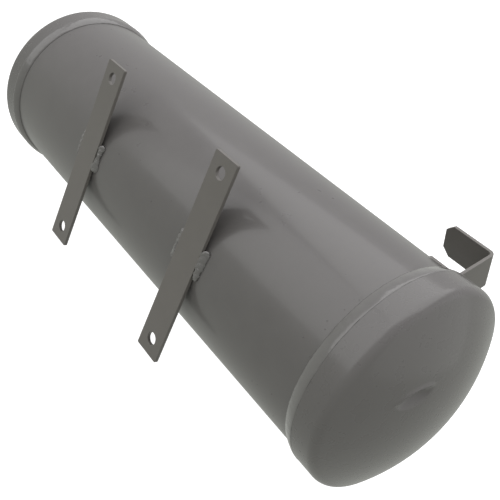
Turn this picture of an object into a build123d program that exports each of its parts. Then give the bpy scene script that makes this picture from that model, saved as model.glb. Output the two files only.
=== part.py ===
from build123d import *
import math
import os

os.makedirs("parts", exist_ok=True)

# Frame: the origin is the centre of the four strap holes on the straps' mounting faces.
# The tank lies along X, the mounting faces look along -Y and +Z is up. Sizes are in millimetres.

# Shell and end caps
shell_radius = 101.6
shell_wall = 3.2
near_toe = 266.0                # tube meets the near weld bead here
far_toe = -287.6                # tube meets the far weld bead here
near_bead = 13.0                # width of each round weld bead
far_bead = 10.5
tube_entry = 14.0               # length of tube inside each cap
slip_gap = 0.2                  # tube to cap, radial
cap_wall = 4.35
cap_skirt = 19.4                # straight part of the cap, lip to knuckle
knuckle_radius = 11.0
dome_radius = 205.0

# Dent pressed into the near dome
dent_radius = 41.4
dent_centre = (-23.3, -6.8)     # Y and Z from the tank's axis
dent_rise = 3.6                 # dent floor's height over the apex at the dent's centre
dent_normal = (1.0, -0.245, 0.193)

# Mounting straps
strap_pitch = 203.2
strap_length = 214.4
strap_width = 33.0
strap_thickness = 3.8
strap_corner = 1.5
bar_edge = 0.4                  # eased edges of the straps and the hook bar
bolt_hole_radius = 6.35
bolt_hole_inset = 16.3
strap_bead_length = 32.0
strap_bead_rise = 6.0           # middle of the strap beads over the tank's axis, along +Z
bead_leg = 6.5

# Hook bracket, a bent flat bar
hook_angle = 28.6               # from +Y towards +Z, seen along the tank
hook_offset = 17.4              # bar's centre line from the radial line
hook_width = 40.0
hook_thickness = 3.4
hook_reach = 155.6              # tank axis to the outer leg's outer face
hook_back = 258.1               # outer face of the leg that stands off the tank
hook_leg = 58.0
hook_foot = 43.0
hook_bend = 4.6                 # at the middle of the bar's thickness
hook_clip = 8.6                 # clipped corners

# Filler neck, cap and dipstick, on one radial axis
filler_x = -40.0
filler_angle = 22.0             # from +Y towards +Z
neck_radius = 19.05
neck_bore = 15.9
neck_height = 14.0
neck_depth = 6.0                # inside the tube's outer surface
filler_cap_radius = 23.0
filler_cap_height = 22.0
filler_cap_roof = 2.6
filler_cap_foot = 5.0           # height of the cap's lower edge over the tube
grip_count = 24
vent_count = 6
gasket_thickness = 1.5
breather_gap = 0.3              # gasket to breather element
dipstick_radius = 2.2
dipstick_end = -62.0            # past the tank's axis
screen_radius = 15.3
screen_wall = 0.6
screen_depth = 52.0

# Ports on the far cap, threaded right through
suction_place = (0.0, -52.0)    # Y and Z from the tank's axis
suction_radius = 22.2
suction_bore = 14.7
return_place = (40.0, -10.0)
return_radius = 19.0
return_bore = 11.7
port_outer = -369.5             # outer faces of both ports
port_inner = -333.5
port_seat_depth = 14.0          # wider seat at the inner end, for the strainer or the tube
port_bead = 4.0

# Suction strainer
strainer_nipple = 15.55
strainer_hex = 40.0             # across flats
strainer_head = 12.0
strainer_radius = 30.0
strainer_mesh_wall = 1.2
strainer_length = 110.0
strainer_plate = 2.5

# Return tube
return_tube_radius = 12.7
return_tube_wall = 1.65
return_tube_end = 200.0

# Drain
drain_x = -150.0
drain_radius = 15.9
drain_bore = 9.1
drain_drop = 8.4                # below the tube's lowest line
drain_inner = 4.6               # above the tube's lowest line
drain_shank = 9.05
drain_hex = 22.0                # across flats
drain_head = 8.0
washer_radius = 14.0
washer_thickness = 1.5
magnet_radius = 4.0
magnet_length = 8.0

# Baffle
baffle_x = 60.0
baffle_thickness = 3.0
baffle_top = 72.0               # flat cut for air
baffle_window = (70.0, 22.0)
baffle_window_z = -74.0

# Worked-out places
axis_y = strap_thickness + shell_radius
tank_axis = Axis((0, axis_y, 0), (1, 0, 0))
near_lip = near_toe + near_bead
far_lip = far_toe - far_bead
cap_radius = shell_radius + slip_gap + cap_wall
knuckle_ring = cap_radius - knuckle_radius
dome_setback = math.sqrt((dome_radius - knuckle_radius) ** 2 - knuckle_ring ** 2)
near_dome_x = near_lip + cap_skirt - dome_setback
far_dome_x = far_lip - cap_skirt + dome_setback
near_apex = near_dome_x + dome_radius
far_apex = far_dome_x - dome_radius
hook_u = (0, math.cos(math.radians(hook_angle)), math.sin(math.radians(hook_angle)))
hook_v = (0, -hook_u[2], hook_u[1])
filler_u = (0, math.cos(math.radians(filler_angle)), math.sin(math.radians(filler_angle)))


def filler_plane(height):
    """Plane across the filler's axis, at a height over the tube's outer surface."""
    reach = shell_radius + height
    return Plane(
        origin=(filler_x, axis_y + reach * filler_u[1], reach * filler_u[2]),
        x_dir=(1, 0, 0),
        z_dir=filler_u,
    )


def port_plane(x, place):
    """Plane across a far-cap port's axis, looking out of the tank."""
    return Plane(origin=(x, axis_y + place[0], place[1]), x_dir=(0, 1, 0), z_dir=(-1, 0, 0))


def drain_plane(z):
    """Plane across the drain's axis, looking down."""
    return Plane(origin=(drain_x, axis_y, z), x_dir=(1, 0, 0), z_dir=(0, 0, -1))


def tank_plane(x):
    """Plane across the tank at x, looking along +X."""
    return Plane(origin=(x, axis_y, 0), x_dir=(0, 1, 0), z_dir=(1, 0, 0))


def finish(piece, label):
    """Name a finished piece and write its STEP file."""
    piece.part.label = label
    export_step(piece.part, f"parts/{label}.step")


# Shell tube
tube_start = far_lip - tube_entry
tube_length = near_lip + tube_entry - tube_start
with BuildPart() as shell_tube:
    with BuildSketch(tank_plane(tube_start)):
        Circle(shell_radius)
        Circle(shell_radius - shell_wall, mode=Mode.SUBTRACT)
    extrude(amount=tube_length)
    with BuildSketch(filler_plane(10)):
        Circle(neck_radius)
    extrude(amount=-30, mode=Mode.SUBTRACT)
    with BuildSketch(drain_plane(-shell_radius - 10)):
        Circle(drain_radius)
    extrude(amount=-30, mode=Mode.SUBTRACT)
finish(shell_tube, "shell_tube")


def dished_outline(lip, way):
    """Half section of a dished cap's blank from its lip; way is 1 or -1 along X."""
    knuckle_x = lip + way * cap_skirt
    crown_x = knuckle_x - way * dome_setback
    lean = math.asin(knuckle_ring / (dome_radius - knuckle_radius))
    half = (math.pi / 2 + lean) / 2
    join = (
        knuckle_x + way * knuckle_radius * math.cos(lean),
        axis_y + knuckle_ring + knuckle_radius * math.sin(lean),
    )
    with BuildSketch(Plane.XY) as outline:
        with BuildLine():
            Line((lip, axis_y), (lip, axis_y + cap_radius))
            Line((lip, axis_y + cap_radius), (knuckle_x, axis_y + cap_radius))
            ThreePointArc(
                (knuckle_x, axis_y + cap_radius),
                (
                    knuckle_x + way * knuckle_radius * math.cos(half),
                    axis_y + knuckle_ring + knuckle_radius * math.sin(half),
                ),
                join,
            )
            ThreePointArc(
                join,
                (
                    crown_x + way * dome_radius * math.cos(lean / 2),
                    axis_y + dome_radius * math.sin(lean / 2),
                ),
                (crown_x + way * dome_radius, axis_y),
            )
            Line((crown_x + way * dome_radius, axis_y), (lip, axis_y))
        make_face()
    return outline.sketch


# Near end cap, with the dent in its dome
with BuildPart() as near_end_cap:
    add(dished_outline(near_lip, 1))
    revolve(axis=tank_axis)
    offset(amount=-cap_wall, openings=near_end_cap.faces().sort_by(Axis.X)[0])
    dent = Plane(
        origin=(near_apex + dent_rise, axis_y + dent_centre[0], dent_centre[1]),
        z_dir=dent_normal,
    )
    with BuildSketch(dent):
        Circle(dent_radius)
    extrude(amount=20, mode=Mode.SUBTRACT)
finish(near_end_cap, "near_end_cap")

# Far end cap, bored for the two ports
with BuildPart() as far_end_cap:
    add(dished_outline(far_lip, -1))
    revolve(axis=tank_axis)
    offset(amount=-cap_wall, openings=far_end_cap.faces().sort_by(Axis.X)[-1])
    for place, radius in ((suction_place, suction_radius), (return_place, return_radius)):
        with BuildSketch(port_plane(far_apex - 5, place)):
            Circle(radius)
        extrude(amount=-60, mode=Mode.SUBTRACT)
finish(far_end_cap, "far_end_cap")

# Round weld beads between the tube and each cap's lip
for toe, lip, label in (
    (near_toe, near_lip, "near_cap_weld"),
    (far_toe, far_lip, "far_cap_weld"),
):
    with BuildPart() as cap_weld:
        with BuildSketch(Plane.XY):
            with BuildLine():
                Line((toe, axis_y + shell_radius), (lip, axis_y + shell_radius))
                Line((lip, axis_y + shell_radius), (lip, axis_y + cap_radius))
                ThreePointArc(
                    (lip, axis_y + cap_radius),
                    ((toe + lip) / 2, axis_y + (shell_radius + cap_radius) / 2 + 0.6),
                    (toe, axis_y + shell_radius),
                )
            make_face()
        revolve(axis=tank_axis)
    finish(cap_weld, label)

# Mounting straps and the beads that hold them to the tube
hole_pitch = strap_length - 2 * bolt_hole_inset
for strap_x, name in ((-strap_pitch / 2, "far"), (strap_pitch / 2, "near")):
    with BuildPart() as strap:
        with BuildSketch(Plane.XZ) as strap_face:
            with Locations((strap_x, 0)):
                RectangleRounded(strap_width, strap_length, strap_corner)
            with Locations((strap_x, hole_pitch / 2), (strap_x, -hole_pitch / 2)):
                Circle(bolt_hole_radius, mode=Mode.SUBTRACT)
        extrude(amount=-strap_thickness)
        fillet(strap.edges().filter_by(Plane.XZ), radius=bar_edge)
    finish(strap, f"{name}_mounting_strap")

    with BuildPart() as strap_welds:
        with BuildSketch(Plane.XY.offset(strap_bead_rise - strap_bead_length / 2)):
            for way in (-1, 1):
                edge = strap_x + way * strap_width / 2
                with BuildLine():
                    Polyline(
                        (edge, 0.5),
                        (edge + way * 0.6 * bead_leg, strap_thickness - 2.2),
                        (edge + way * bead_leg, strap_thickness - 0.4),
                        (edge + way * bead_leg, strap_thickness + 3),
                        (edge, strap_thickness + 3),
                        close=True,
                    )
                make_face()
        extrude(amount=strap_bead_length)
        with BuildSketch(tank_plane(strap_x - 50)):
            Circle(shell_radius)
        extrude(amount=100, mode=Mode.SUBTRACT)
    finish(strap_welds, f"{name}_strap_welds")

# Hook bracket
hook_low = hook_offset - hook_width / 2
hook_side = Plane(
    origin=(0, axis_y + hook_low * hook_v[1], hook_low * hook_v[2]),
    x_dir=(1, 0, 0),
    z_dir=hook_v,
)
foot_mid = shell_radius + hook_thickness / 2
reach_mid = hook_reach - hook_thickness / 2
back_mid = hook_back - hook_thickness / 2
with BuildPart() as hook_bracket:
    with BuildSketch(hook_side):
        with BuildLine():
            FilletPolyline(
                (hook_back - hook_foot, foot_mid),
                (back_mid, foot_mid),
                (back_mid, reach_mid),
                (hook_back - hook_leg, reach_mid),
                radius=hook_bend,
            )
        trace(line_width=hook_thickness)
    extrude(amount=hook_width)
    bar_edges = hook_bracket.edges().filter_by(Axis((0, 0, 0), hook_u)).sort_by(Axis.X)
    chamfer(bar_edges[0:4], length=hook_clip)
    side_faces = hook_bracket.faces().filter_by(Plane((0, 0, 0), z_dir=hook_v))
    fillet(side_faces.edges(), radius=bar_edge)
finish(hook_bracket, "hook_bracket")

# Beads along the foot's lower edge and across its free end
foot_end = hook_back - hook_foot
with BuildPart() as hook_welds:
    bead_start = foot_end + hook_clip + 1
    with BuildSketch(Plane(origin=(bead_start, axis_y, 0), x_dir=hook_u, z_dir=(1, 0, 0))):
        with BuildLine():
            Polyline(
                (foot_mid - 4, hook_low),
                (shell_radius + hook_thickness - 0.4, hook_low),
                (shell_radius + 1.6, hook_low - 3.6),
                (shell_radius + 0.2, hook_low - 6),
                (foot_mid - 4, hook_low - 6),
                close=True,
            )
        make_face()
    extrude(amount=hook_back - bead_start - 6)
    end_side = hook_side.offset(hook_clip + 0.5)
    with BuildSketch(end_side):
        with BuildLine():
            Polyline(
                (foot_end, foot_mid - 4),
                (foot_end, shell_radius + hook_thickness - 0.4),
                (foot_end - 3.6, shell_radius + 1.6),
                (foot_end - 6, shell_radius - 0.2),
                (foot_end - 6, foot_mid - 4),
                close=True,
            )
        make_face()
    extrude(amount=12)
    with BuildSketch(tank_plane(foot_end - 20)):
        Circle(shell_radius)
    extrude(amount=100, mode=Mode.SUBTRACT)
finish(hook_welds, "hook_bracket_welds")

# Filler neck and its bead
with BuildPart() as filler_neck:
    with BuildSketch(filler_plane(-neck_depth)):
        Circle(neck_radius)
        Circle(neck_bore, mode=Mode.SUBTRACT)
    extrude(amount=neck_depth + neck_height)
finish(filler_neck, "filler_neck")

with BuildPart() as filler_neck_weld:
    with BuildSketch(filler_plane(-5)):
        Circle(neck_radius + port_bead)
        Circle(neck_radius, mode=Mode.SUBTRACT)
    extrude(amount=15)
    with BuildSketch(tank_plane(filler_x - 40)):
        Circle(shell_radius + 3.4)
    extrude(amount=80, mode=Mode.INTERSECT)
    with BuildSketch(tank_plane(filler_x - 40)):
        Circle(shell_radius)
    extrude(amount=80, mode=Mode.SUBTRACT)
finish(filler_neck_weld, "filler_neck_weld")

# Filler screen, a thin cup that hangs in the neck by its rim
with BuildPart() as filler_screen:
    with BuildSketch(filler_plane(neck_height)):
        Circle(neck_bore + 1.6)
        Circle(screen_radius - screen_wall, mode=Mode.SUBTRACT)
    extrude(amount=screen_wall)
    with BuildSketch(filler_plane(neck_height)):
        Circle(screen_radius)
    extrude(amount=-screen_depth)
    with BuildSketch(filler_plane(neck_height + 1)):
        Circle(screen_radius - screen_wall)
    extrude(amount=-screen_depth - 1 + screen_wall, mode=Mode.SUBTRACT)
    with BuildSketch(filler_plane(neck_height - screen_depth - 1)):
        Circle(dipstick_radius + 1.5)
    extrude(amount=5, mode=Mode.SUBTRACT)
finish(filler_screen, "filler_screen")

# Gasket between the neck's lip and the cap
seat = neck_height + screen_wall
with BuildPart() as filler_gasket:
    with BuildSketch(filler_plane(seat)):
        Circle(neck_radius - 0.1)
        Circle(neck_bore, mode=Mode.SUBTRACT)
    extrude(amount=gasket_thickness)
finish(filler_gasket, "filler_cap_gasket")

# Breathing filler cap, with grips and vents round its skirt
roof = filler_cap_height - filler_cap_roof
with BuildPart() as filler_cap:
    with BuildSketch(filler_plane(filler_cap_foot)):
        Circle(filler_cap_radius)
    extrude(amount=filler_cap_height - filler_cap_foot)
    chamfer(filler_cap.faces().sort_by(Axis(filler_plane(0).origin, filler_u))[-1].edges(), length=1.6)
    with BuildSketch(filler_plane(filler_cap_foot)):
        Circle(neck_radius + 0.35)
    extrude(amount=seat + gasket_thickness - filler_cap_foot, mode=Mode.SUBTRACT)
    with BuildSketch(filler_plane(seat)):
        Circle(neck_bore)
    extrude(amount=roof - seat, mode=Mode.SUBTRACT)
    with BuildSketch(filler_plane(filler_cap_foot)):
        with PolarLocations(filler_cap_radius + 0.5, grip_count):
            Circle(1.3)
    extrude(amount=filler_cap_height - filler_cap_foot - 3, mode=Mode.SUBTRACT)
    with BuildSketch(filler_plane(roof)):
        Circle(dipstick_radius + 2.5)
        Circle(dipstick_radius, mode=Mode.SUBTRACT)
    extrude(amount=-4.5)
    with Locations(filler_plane((seat + gasket_thickness + roof) / 2)):
        with PolarLocations(0, vent_count, start_angle=7.5):
            Cylinder(radius=0.9, height=filler_cap_radius + 4, rotation=(0, 90, 0),
                     align=(Align.CENTER, Align.CENTER, Align.MIN), mode=Mode.SUBTRACT)
finish(filler_cap, "filler_cap")

with BuildPart() as breather_element:
    with BuildSketch(filler_plane(seat + gasket_thickness + breather_gap)):
        Circle(neck_bore)
        Circle(dipstick_radius + 2.5, mode=Mode.SUBTRACT)
    extrude(amount=roof - seat - gasket_thickness - breather_gap)
finish(breather_element, "breather_element")

# Dipstick, with a flattened end that carries the level marks
dipstick_base = roof
dipstick_length = shell_radius + dipstick_base - dipstick_end
with BuildPart() as dipstick:
    with BuildSketch(filler_plane(dipstick_base)):
        Circle(dipstick_radius)
    extrude(amount=-dipstick_length)
    flat_start = dipstick_base - dipstick_length
    for way in (-1, 1):
        with BuildSketch(filler_plane(flat_start)):
            with Locations((0, way * 2.0)):
                Rectangle(8, 1.8)
        extrude(amount=70, mode=Mode.SUBTRACT)
finish(dipstick, "dipstick")


# Far-cap ports: a bored socket with a wider seat at its inner end, and its bead on the dome
for name, place, radius, bore, held_radius in (
    ("suction_port", suction_place, suction_radius, suction_bore, strainer_nipple),
    ("return_port", return_place, return_radius, return_bore, return_tube_radius),
):
    with BuildPart() as port:
        with BuildSketch(port_plane(port_outer, place)):
            Circle(radius)
            Circle(bore, mode=Mode.SUBTRACT)
        extrude(amount=port_outer - port_inner)
        with BuildSketch(port_plane(port_inner, place)):
            Circle(held_radius + 0.05)
        extrude(amount=port_seat_depth, mode=Mode.SUBTRACT)
    finish(port, name)

    with BuildPart() as port_weld:
        with Locations((far_dome_x, axis_y, 0)):
            Sphere(dome_radius + 3.2)
        with BuildSketch(port_plane(far_apex - 20, place)):
            Circle(radius + port_bead)
            Circle(radius, mode=Mode.SUBTRACT)
        extrude(amount=-70, mode=Mode.INTERSECT)
        with Locations((far_dome_x, axis_y, 0)):
            Sphere(dome_radius, mode=Mode.SUBTRACT)
    finish(port_weld, f"{name}_weld")

# Suction strainer: threaded head, mesh sleeve and end plate
head_start = port_inner
mesh_start = head_start + strainer_head
mesh_end = mesh_start + strainer_length
with BuildPart() as strainer_head_piece:
    with BuildSketch(port_plane(head_start, suction_place)):
        Circle(strainer_nipple)
    extrude(amount=port_seat_depth)
    with BuildSketch(port_plane(head_start + strainer_head - strainer_plate, suction_place)):
        RegularPolygon(strainer_hex / 2, 6, major_radius=False)
    extrude(amount=strainer_head - strainer_plate)
    with BuildSketch(port_plane(mesh_start, suction_place)):
        Circle(strainer_radius)
    extrude(amount=strainer_plate)
    with BuildSketch(port_plane(mesh_start, suction_place)):
        Circle(suction_bore - 3.5)
    extrude(amount=strainer_head + port_seat_depth, mode=Mode.SUBTRACT)
finish(strainer_head_piece, "suction_strainer_head")

with BuildPart() as strainer_mesh:
    with BuildSketch(port_plane(mesh_end, suction_place)):
        Circle(strainer_radius - 0.5)
        Circle(strainer_radius - 0.5 - strainer_mesh_wall, mode=Mode.SUBTRACT)
    extrude(amount=strainer_length)
finish(strainer_mesh, "suction_strainer_mesh")

with BuildPart() as strainer_end:
    with BuildSketch(port_plane(mesh_end + strainer_plate, suction_place)):
        Circle(strainer_radius)
    extrude(amount=strainer_plate)
finish(strainer_end, "suction_strainer_end")

# Return tube, cut on the slant at its open end
tube_root = port_inner - port_seat_depth
with BuildPart() as return_tube:
    with BuildSketch(port_plane(return_tube_end, return_place)):
        Circle(return_tube_radius)
        Circle(return_tube_radius - return_tube_wall, mode=Mode.SUBTRACT)
    extrude(amount=return_tube_end - tube_root)
    slant = Plane(
        origin=(return_tube_end - return_tube_radius, axis_y + return_place[0], return_place[1]),
        z_dir=(1, 0, 1),
    )
    split(bisect_by=slant, keep=Keep.BOTTOM)
finish(return_tube, "return_tube")

# Baffle across the shell, open at its top and bottom
with BuildPart() as baffle_plate:
    with BuildSketch(tank_plane(baffle_x)):
        Circle(shell_radius - shell_wall)
        with Locations((0, shell_radius + baffle_top)):
            Rectangle(2.2 * shell_radius, 2 * shell_radius, mode=Mode.SUBTRACT)
        with Locations((0, baffle_window_z)):
            SlotOverall(baffle_window[0], baffle_window[1], mode=Mode.SUBTRACT)
        with Locations(return_place):
            Circle(return_tube_radius + 0.5, mode=Mode.SUBTRACT)
    extrude(amount=baffle_thickness)
finish(baffle_plate, "baffle_plate")

# Drain socket, its bead, and the plug with its washer and magnet
drain_face = -shell_radius - drain_drop
drain_top = -shell_radius + drain_inner
with BuildPart() as drain_socket:
    with BuildSketch(drain_plane(drain_top)):
        Circle(drain_radius)
        Circle(drain_bore, mode=Mode.SUBTRACT)
    extrude(amount=drain_top - drain_face)
finish(drain_socket, "drain_socket")

with BuildPart() as drain_socket_weld:
    with BuildSketch(drain_plane(-shell_radius + 5)):
        Circle(drain_radius + port_bead)
        Circle(drain_radius, mode=Mode.SUBTRACT)
    extrude(amount=15)
    with BuildSketch(tank_plane(drain_x - 40)):
        Circle(shell_radius + 3.4)
    extrude(amount=80, mode=Mode.INTERSECT)
    with BuildSketch(tank_plane(drain_x - 40)):
        Circle(shell_radius)
    extrude(amount=80, mode=Mode.SUBTRACT)
finish(drain_socket_weld, "drain_socket_weld")

with BuildPart() as drain_washer:
    with BuildSketch(drain_plane(drain_face)):
        Circle(washer_radius)
        Circle(drain_bore + 0.3, mode=Mode.SUBTRACT)
    extrude(amount=washer_thickness)
finish(drain_washer, "drain_washer")

plug_seat = drain_face - washer_thickness
with BuildPart() as drain_plug:
    with BuildSketch(drain_plane(plug_seat)):
        RegularPolygon(drain_hex / 2, 6, major_radius=False)
    extrude(amount=drain_head)
    chamfer(drain_plug.faces().sort_by(Axis.Z)[0].edges(), length=0.8)
    with BuildSketch(drain_plane(plug_seat)):
        Circle(drain_shank)
    extrude(amount=plug_seat - drain_top)
    with BuildSketch(drain_plane(drain_top)):
        Circle(magnet_radius)
    extrude(amount=magnet_length / 2, mode=Mode.SUBTRACT)
finish(drain_plug, "drain_plug")

with BuildPart() as drain_magnet:
    with BuildSketch(drain_plane(drain_top + magnet_length / 2)):
        Circle(magnet_radius)
    extrude(amount=magnet_length)
finish(drain_magnet, "drain_magnet")
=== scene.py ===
"""Looks of a strap-mounted cylindrical hydraulic reservoir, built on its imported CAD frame.

The CAD nodes keep their places. This file gives them painted, plated and rubber finishes, and
builds what a machinist or a welder would add: pressed and threaded surfaces, weld beads and the
spatter beside them.
"""

import enum
import logging
import math
from dataclasses import dataclass, field

import bmesh
import bpy
import numpy as np
from mathutils import Matrix, Vector


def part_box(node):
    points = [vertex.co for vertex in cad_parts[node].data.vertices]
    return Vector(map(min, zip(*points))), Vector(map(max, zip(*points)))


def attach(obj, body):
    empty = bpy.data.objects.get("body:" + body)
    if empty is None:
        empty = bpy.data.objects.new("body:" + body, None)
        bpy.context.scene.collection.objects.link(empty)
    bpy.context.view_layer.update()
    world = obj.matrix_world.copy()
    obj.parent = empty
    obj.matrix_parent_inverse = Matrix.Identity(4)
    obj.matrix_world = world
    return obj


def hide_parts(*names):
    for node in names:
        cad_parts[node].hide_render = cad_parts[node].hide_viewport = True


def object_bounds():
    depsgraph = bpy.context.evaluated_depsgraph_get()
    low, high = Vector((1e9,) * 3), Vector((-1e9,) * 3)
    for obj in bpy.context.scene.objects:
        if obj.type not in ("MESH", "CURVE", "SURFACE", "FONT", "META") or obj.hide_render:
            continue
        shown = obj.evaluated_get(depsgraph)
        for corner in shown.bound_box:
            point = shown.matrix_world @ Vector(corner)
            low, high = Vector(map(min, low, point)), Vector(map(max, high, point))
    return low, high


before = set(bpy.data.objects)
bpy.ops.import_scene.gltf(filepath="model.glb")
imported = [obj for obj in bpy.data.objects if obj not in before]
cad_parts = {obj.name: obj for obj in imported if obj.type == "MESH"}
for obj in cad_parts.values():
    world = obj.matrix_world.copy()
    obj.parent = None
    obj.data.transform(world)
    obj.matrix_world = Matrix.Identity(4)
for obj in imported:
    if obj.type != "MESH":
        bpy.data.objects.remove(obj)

LOG = logging.getLogger("reservoir")
CAD_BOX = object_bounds()
Number = float | int


# ---------------------------------------------------------------------------------------------
# Node graphs
# ---------------------------------------------------------------------------------------------


class Value:
    """A socket in a node graph, with arithmetic that adds Math nodes."""

    def __init__(self, graph: "Graph", socket: bpy.types.NodeSocket) -> None:
        """Wrap a socket.

        Args:
            graph: Graph that the socket belongs to.
            socket: Output socket that carries the number.
        """
        self.graph = graph
        self.socket = socket

    def _math(self, operation: str, *terms: "Value | Number") -> "Value":
        """Add one Math node.

        Args:
            operation: Name of the Math node's operation.
            terms: Its operands, in order.

        Returns:
            The node's result.
        """
        node = self.graph.add("ShaderNodeMath", {"operation": operation}, dict(enumerate(terms)))
        return Value(self.graph, node.outputs[0])

    def __add__(self, other: "Value | Number") -> "Value":
        """Sum."""
        return self._math("ADD", self, other)

    def __radd__(self, other: Number) -> "Value":
        """Sum with a number on the left."""
        return self._math("ADD", other, self)

    def __sub__(self, other: "Value | Number") -> "Value":
        """Difference."""
        return self._math("SUBTRACT", self, other)

    def __rsub__(self, other: Number) -> "Value":
        """Difference with a number on the left."""
        return self._math("SUBTRACT", other, self)

    def __mul__(self, other: "Value | Number") -> "Value":
        """Product."""
        return self._math("MULTIPLY", self, other)

    def __rmul__(self, other: Number) -> "Value":
        """Product with a number on the left."""
        return self._math("MULTIPLY", other, self)

    def __truediv__(self, other: "Value | Number") -> "Value":
        """Quotient."""
        return self._math("DIVIDE", self, other)

    def __rtruediv__(self, other: Number) -> "Value":
        """Quotient with a number on the left."""
        return self._math("DIVIDE", other, self)

    def __pow__(self, other: "Value | Number") -> "Value":
        """Power."""
        return self._math("POWER", self, other)

    def sin(self) -> "Value":
        """Sine of an angle in radians."""
        return self._math("SINE", self)

    def cos(self) -> "Value":
        """Cosine of an angle in radians."""
        return self._math("COSINE", self)

    def root(self) -> "Value":
        """Square root."""
        return self._math("SQRT", self)

    def size(self) -> "Value":
        """Absolute value."""
        return self._math("ABSOLUTE", self)

    def fraction(self) -> "Value":
        """What is left over the whole number below."""
        return self._math("FRACT", self)

    def at_least(self, other: "Value | Number") -> "Value":
        """The larger of the two."""
        return self._math("MAXIMUM", self, other)

    def at_most(self, other: "Value | Number") -> "Value":
        """The smaller of the two."""
        return self._math("MINIMUM", self, other)

    def above(self, other: "Value | Number") -> "Value":
        """One where this is greater, else zero."""
        return self._math("GREATER_THAN", self, other)

    def angle_from(self, other: "Value") -> "Value":
        """Angle whose sine part is this and whose cosine part is the other."""
        return self._math("ARCTAN2", self, other)

    def ramp(self, low: Number, high: Number) -> "Value":
        """Rise smoothly from zero at low to one at high."""
        node = self.graph.add(
            "ShaderNodeMapRange",
            {"interpolation_type": "SMOOTHSTEP"},
            {"Value": self, "From Min": low, "From Max": high},
        )
        return Value(self.graph, node.outputs["Result"])


class Graph:
    """A node tree with one method that makes every node."""

    def __init__(self, tree: bpy.types.NodeTree) -> None:
        """Wrap a node tree."""
        self.tree = tree

    def add(
        self,
        kind: str,
        settings: dict[str, object] | None = None,
        inputs: dict[str | int, object] | None = None,
    ) -> bpy.types.Node:
        """Make a node.

        Args:
            kind: Blender's name of the node's type.
            settings: Properties of the node, set first. "stops" are a ramp's stops.
            inputs: Values or links of its sockets, by name or by place.

        Returns:
            The new node.
        """
        node = self.tree.nodes.new(kind)
        for name, setting in (settings or {}).items():
            if name == "stops":
                self._set_stops(node, setting)
            else:
                setattr(node, name, setting)
        for name, given in (inputs or {}).items():
            self.feed(node.inputs[name], given)
        return node

    def feed(self, socket: bpy.types.NodeSocket, given: object) -> None:
        """Set or link one input socket.

        Args:
            socket: Socket to feed.
            given: A Value, a node's output socket, or a constant.
        """
        if isinstance(given, Value):
            self.tree.links.new(given.socket, socket)
        elif isinstance(given, bpy.types.NodeSocket):
            self.tree.links.new(given, socket)
        else:
            socket.default_value = given

    @staticmethod
    def _set_stops(node: bpy.types.Node, stops: list[tuple[float, tuple]]) -> None:
        """Give a colour ramp its stops, each a place and a colour."""
        ramp = node.color_ramp.elements
        while len(ramp) < len(stops):
            ramp.new(0.5)
        for element, (place, colour) in zip(ramp, stops):
            element.position = place
            element.color = colour

    def split(self, vector: bpy.types.NodeSocket) -> tuple[Value, Value, Value]:
        """Take a vector apart into its three parts."""
        node = self.add("ShaderNodeSeparateXYZ", None, {"Vector": vector})
        return tuple(Value(self, out) for out in node.outputs)

    def join(self, x: object, y: object, z: object) -> bpy.types.NodeSocket:
        """Put a vector together from three numbers."""
        node = self.add("ShaderNodeCombineXYZ", None, {"X": x, "Y": y, "Z": z})
        return node.outputs["Vector"]

    def noise(self, vector: object, scale: float, detail: float = 3.0, rough: float = 0.5) -> Value:
        """Soft noise between zero and one.

        Args:
            vector: Where to read it.
            scale: Lumps per metre of the vector.
            detail: Octaves.
            rough: Weight of each further octave.

        Returns:
            The noise.
        """
        node = self.add(
            "ShaderNodeTexNoise",
            {"noise_dimensions": "3D"},
            {"Vector": vector, "Scale": scale, "Detail": detail, "Roughness": rough},
        )
        return Value(self, node.outputs[0])

    def stretch(self, vector: object, scale: tuple[float, float, float]) -> bpy.types.NodeSocket:
        """Scale a vector differently along its three axes."""
        node = self.add("ShaderNodeVectorMath", {"operation": "MULTIPLY"}, {0: vector, 1: scale})
        return node.outputs["Vector"]


@dataclass(frozen=True)
class Tone:
    """A colour in linear light."""

    red: float
    green: float
    blue: float

    @property
    def rgba(self) -> tuple[float, float, float, float]:
        """The colour as Blender takes it."""
        return (self.red, self.green, self.blue, 1.0)

    def scaled(self, factor: float) -> "Tone":
        """A lighter or darker tone of the same hue."""
        return Tone(self.red * factor, self.green * factor, self.blue * factor)


class Surface(Graph):
    """A material being made: its graph, its shader and its object coordinates."""

    def __init__(self, name: str) -> None:
        """Start a material.

        Args:
            name: Name of the finish.
        """
        self.material = bpy.data.materials.new(name)
        self.material.use_nodes = True
        super().__init__(self.material.node_tree)
        self.tree.nodes.clear()
        self.shader = self.add("ShaderNodeBsdfPrincipled")
        self.add("ShaderNodeOutputMaterial", None, {"Surface": self.shader.outputs[0]})
        self.place = self.add("ShaderNodeTexCoord").outputs["Object"]

    def set(self, **inputs: object) -> None:
        """Feed the shader's sockets, named with underscores for spaces."""
        for name, given in inputs.items():
            self.feed(self.shader.inputs[name.replace("_", " ")], given)

    def blend(self, amount: Value, low: object, high: object) -> bpy.types.NodeSocket:
        """Mix two colours.

        Args:
            amount: How much of the second colour shows.
            low: First colour, a Tone or a socket.
            high: Second colour, a Tone or a socket.

        Returns:
            The mixed colour.
        """
        pair = [tone.rgba if isinstance(tone, Tone) else tone for tone in (low, high)]
        node = self.add(
            "ShaderNodeMix", {"data_type": "RGBA"}, {0: amount, 6: pair[0], 7: pair[1]}
        )
        return node.outputs[2]

    def bump(self, height: Value, depth: float, strength: float = 1.0) -> None:
        """Raise the surface by a height field.

        Args:
            height: Height between zero and one.
            depth: Metres for one unit of height.
            strength: How much of the relief shows.
        """
        node = self.add(
            "ShaderNodeBump", None, {"Strength": strength, "Distance": depth, "Height": height}
        )
        self.feed(self.shader.inputs["Normal"], node.outputs["Normal"])


# ---------------------------------------------------------------------------------------------
# Finishes
# ---------------------------------------------------------------------------------------------


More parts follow.
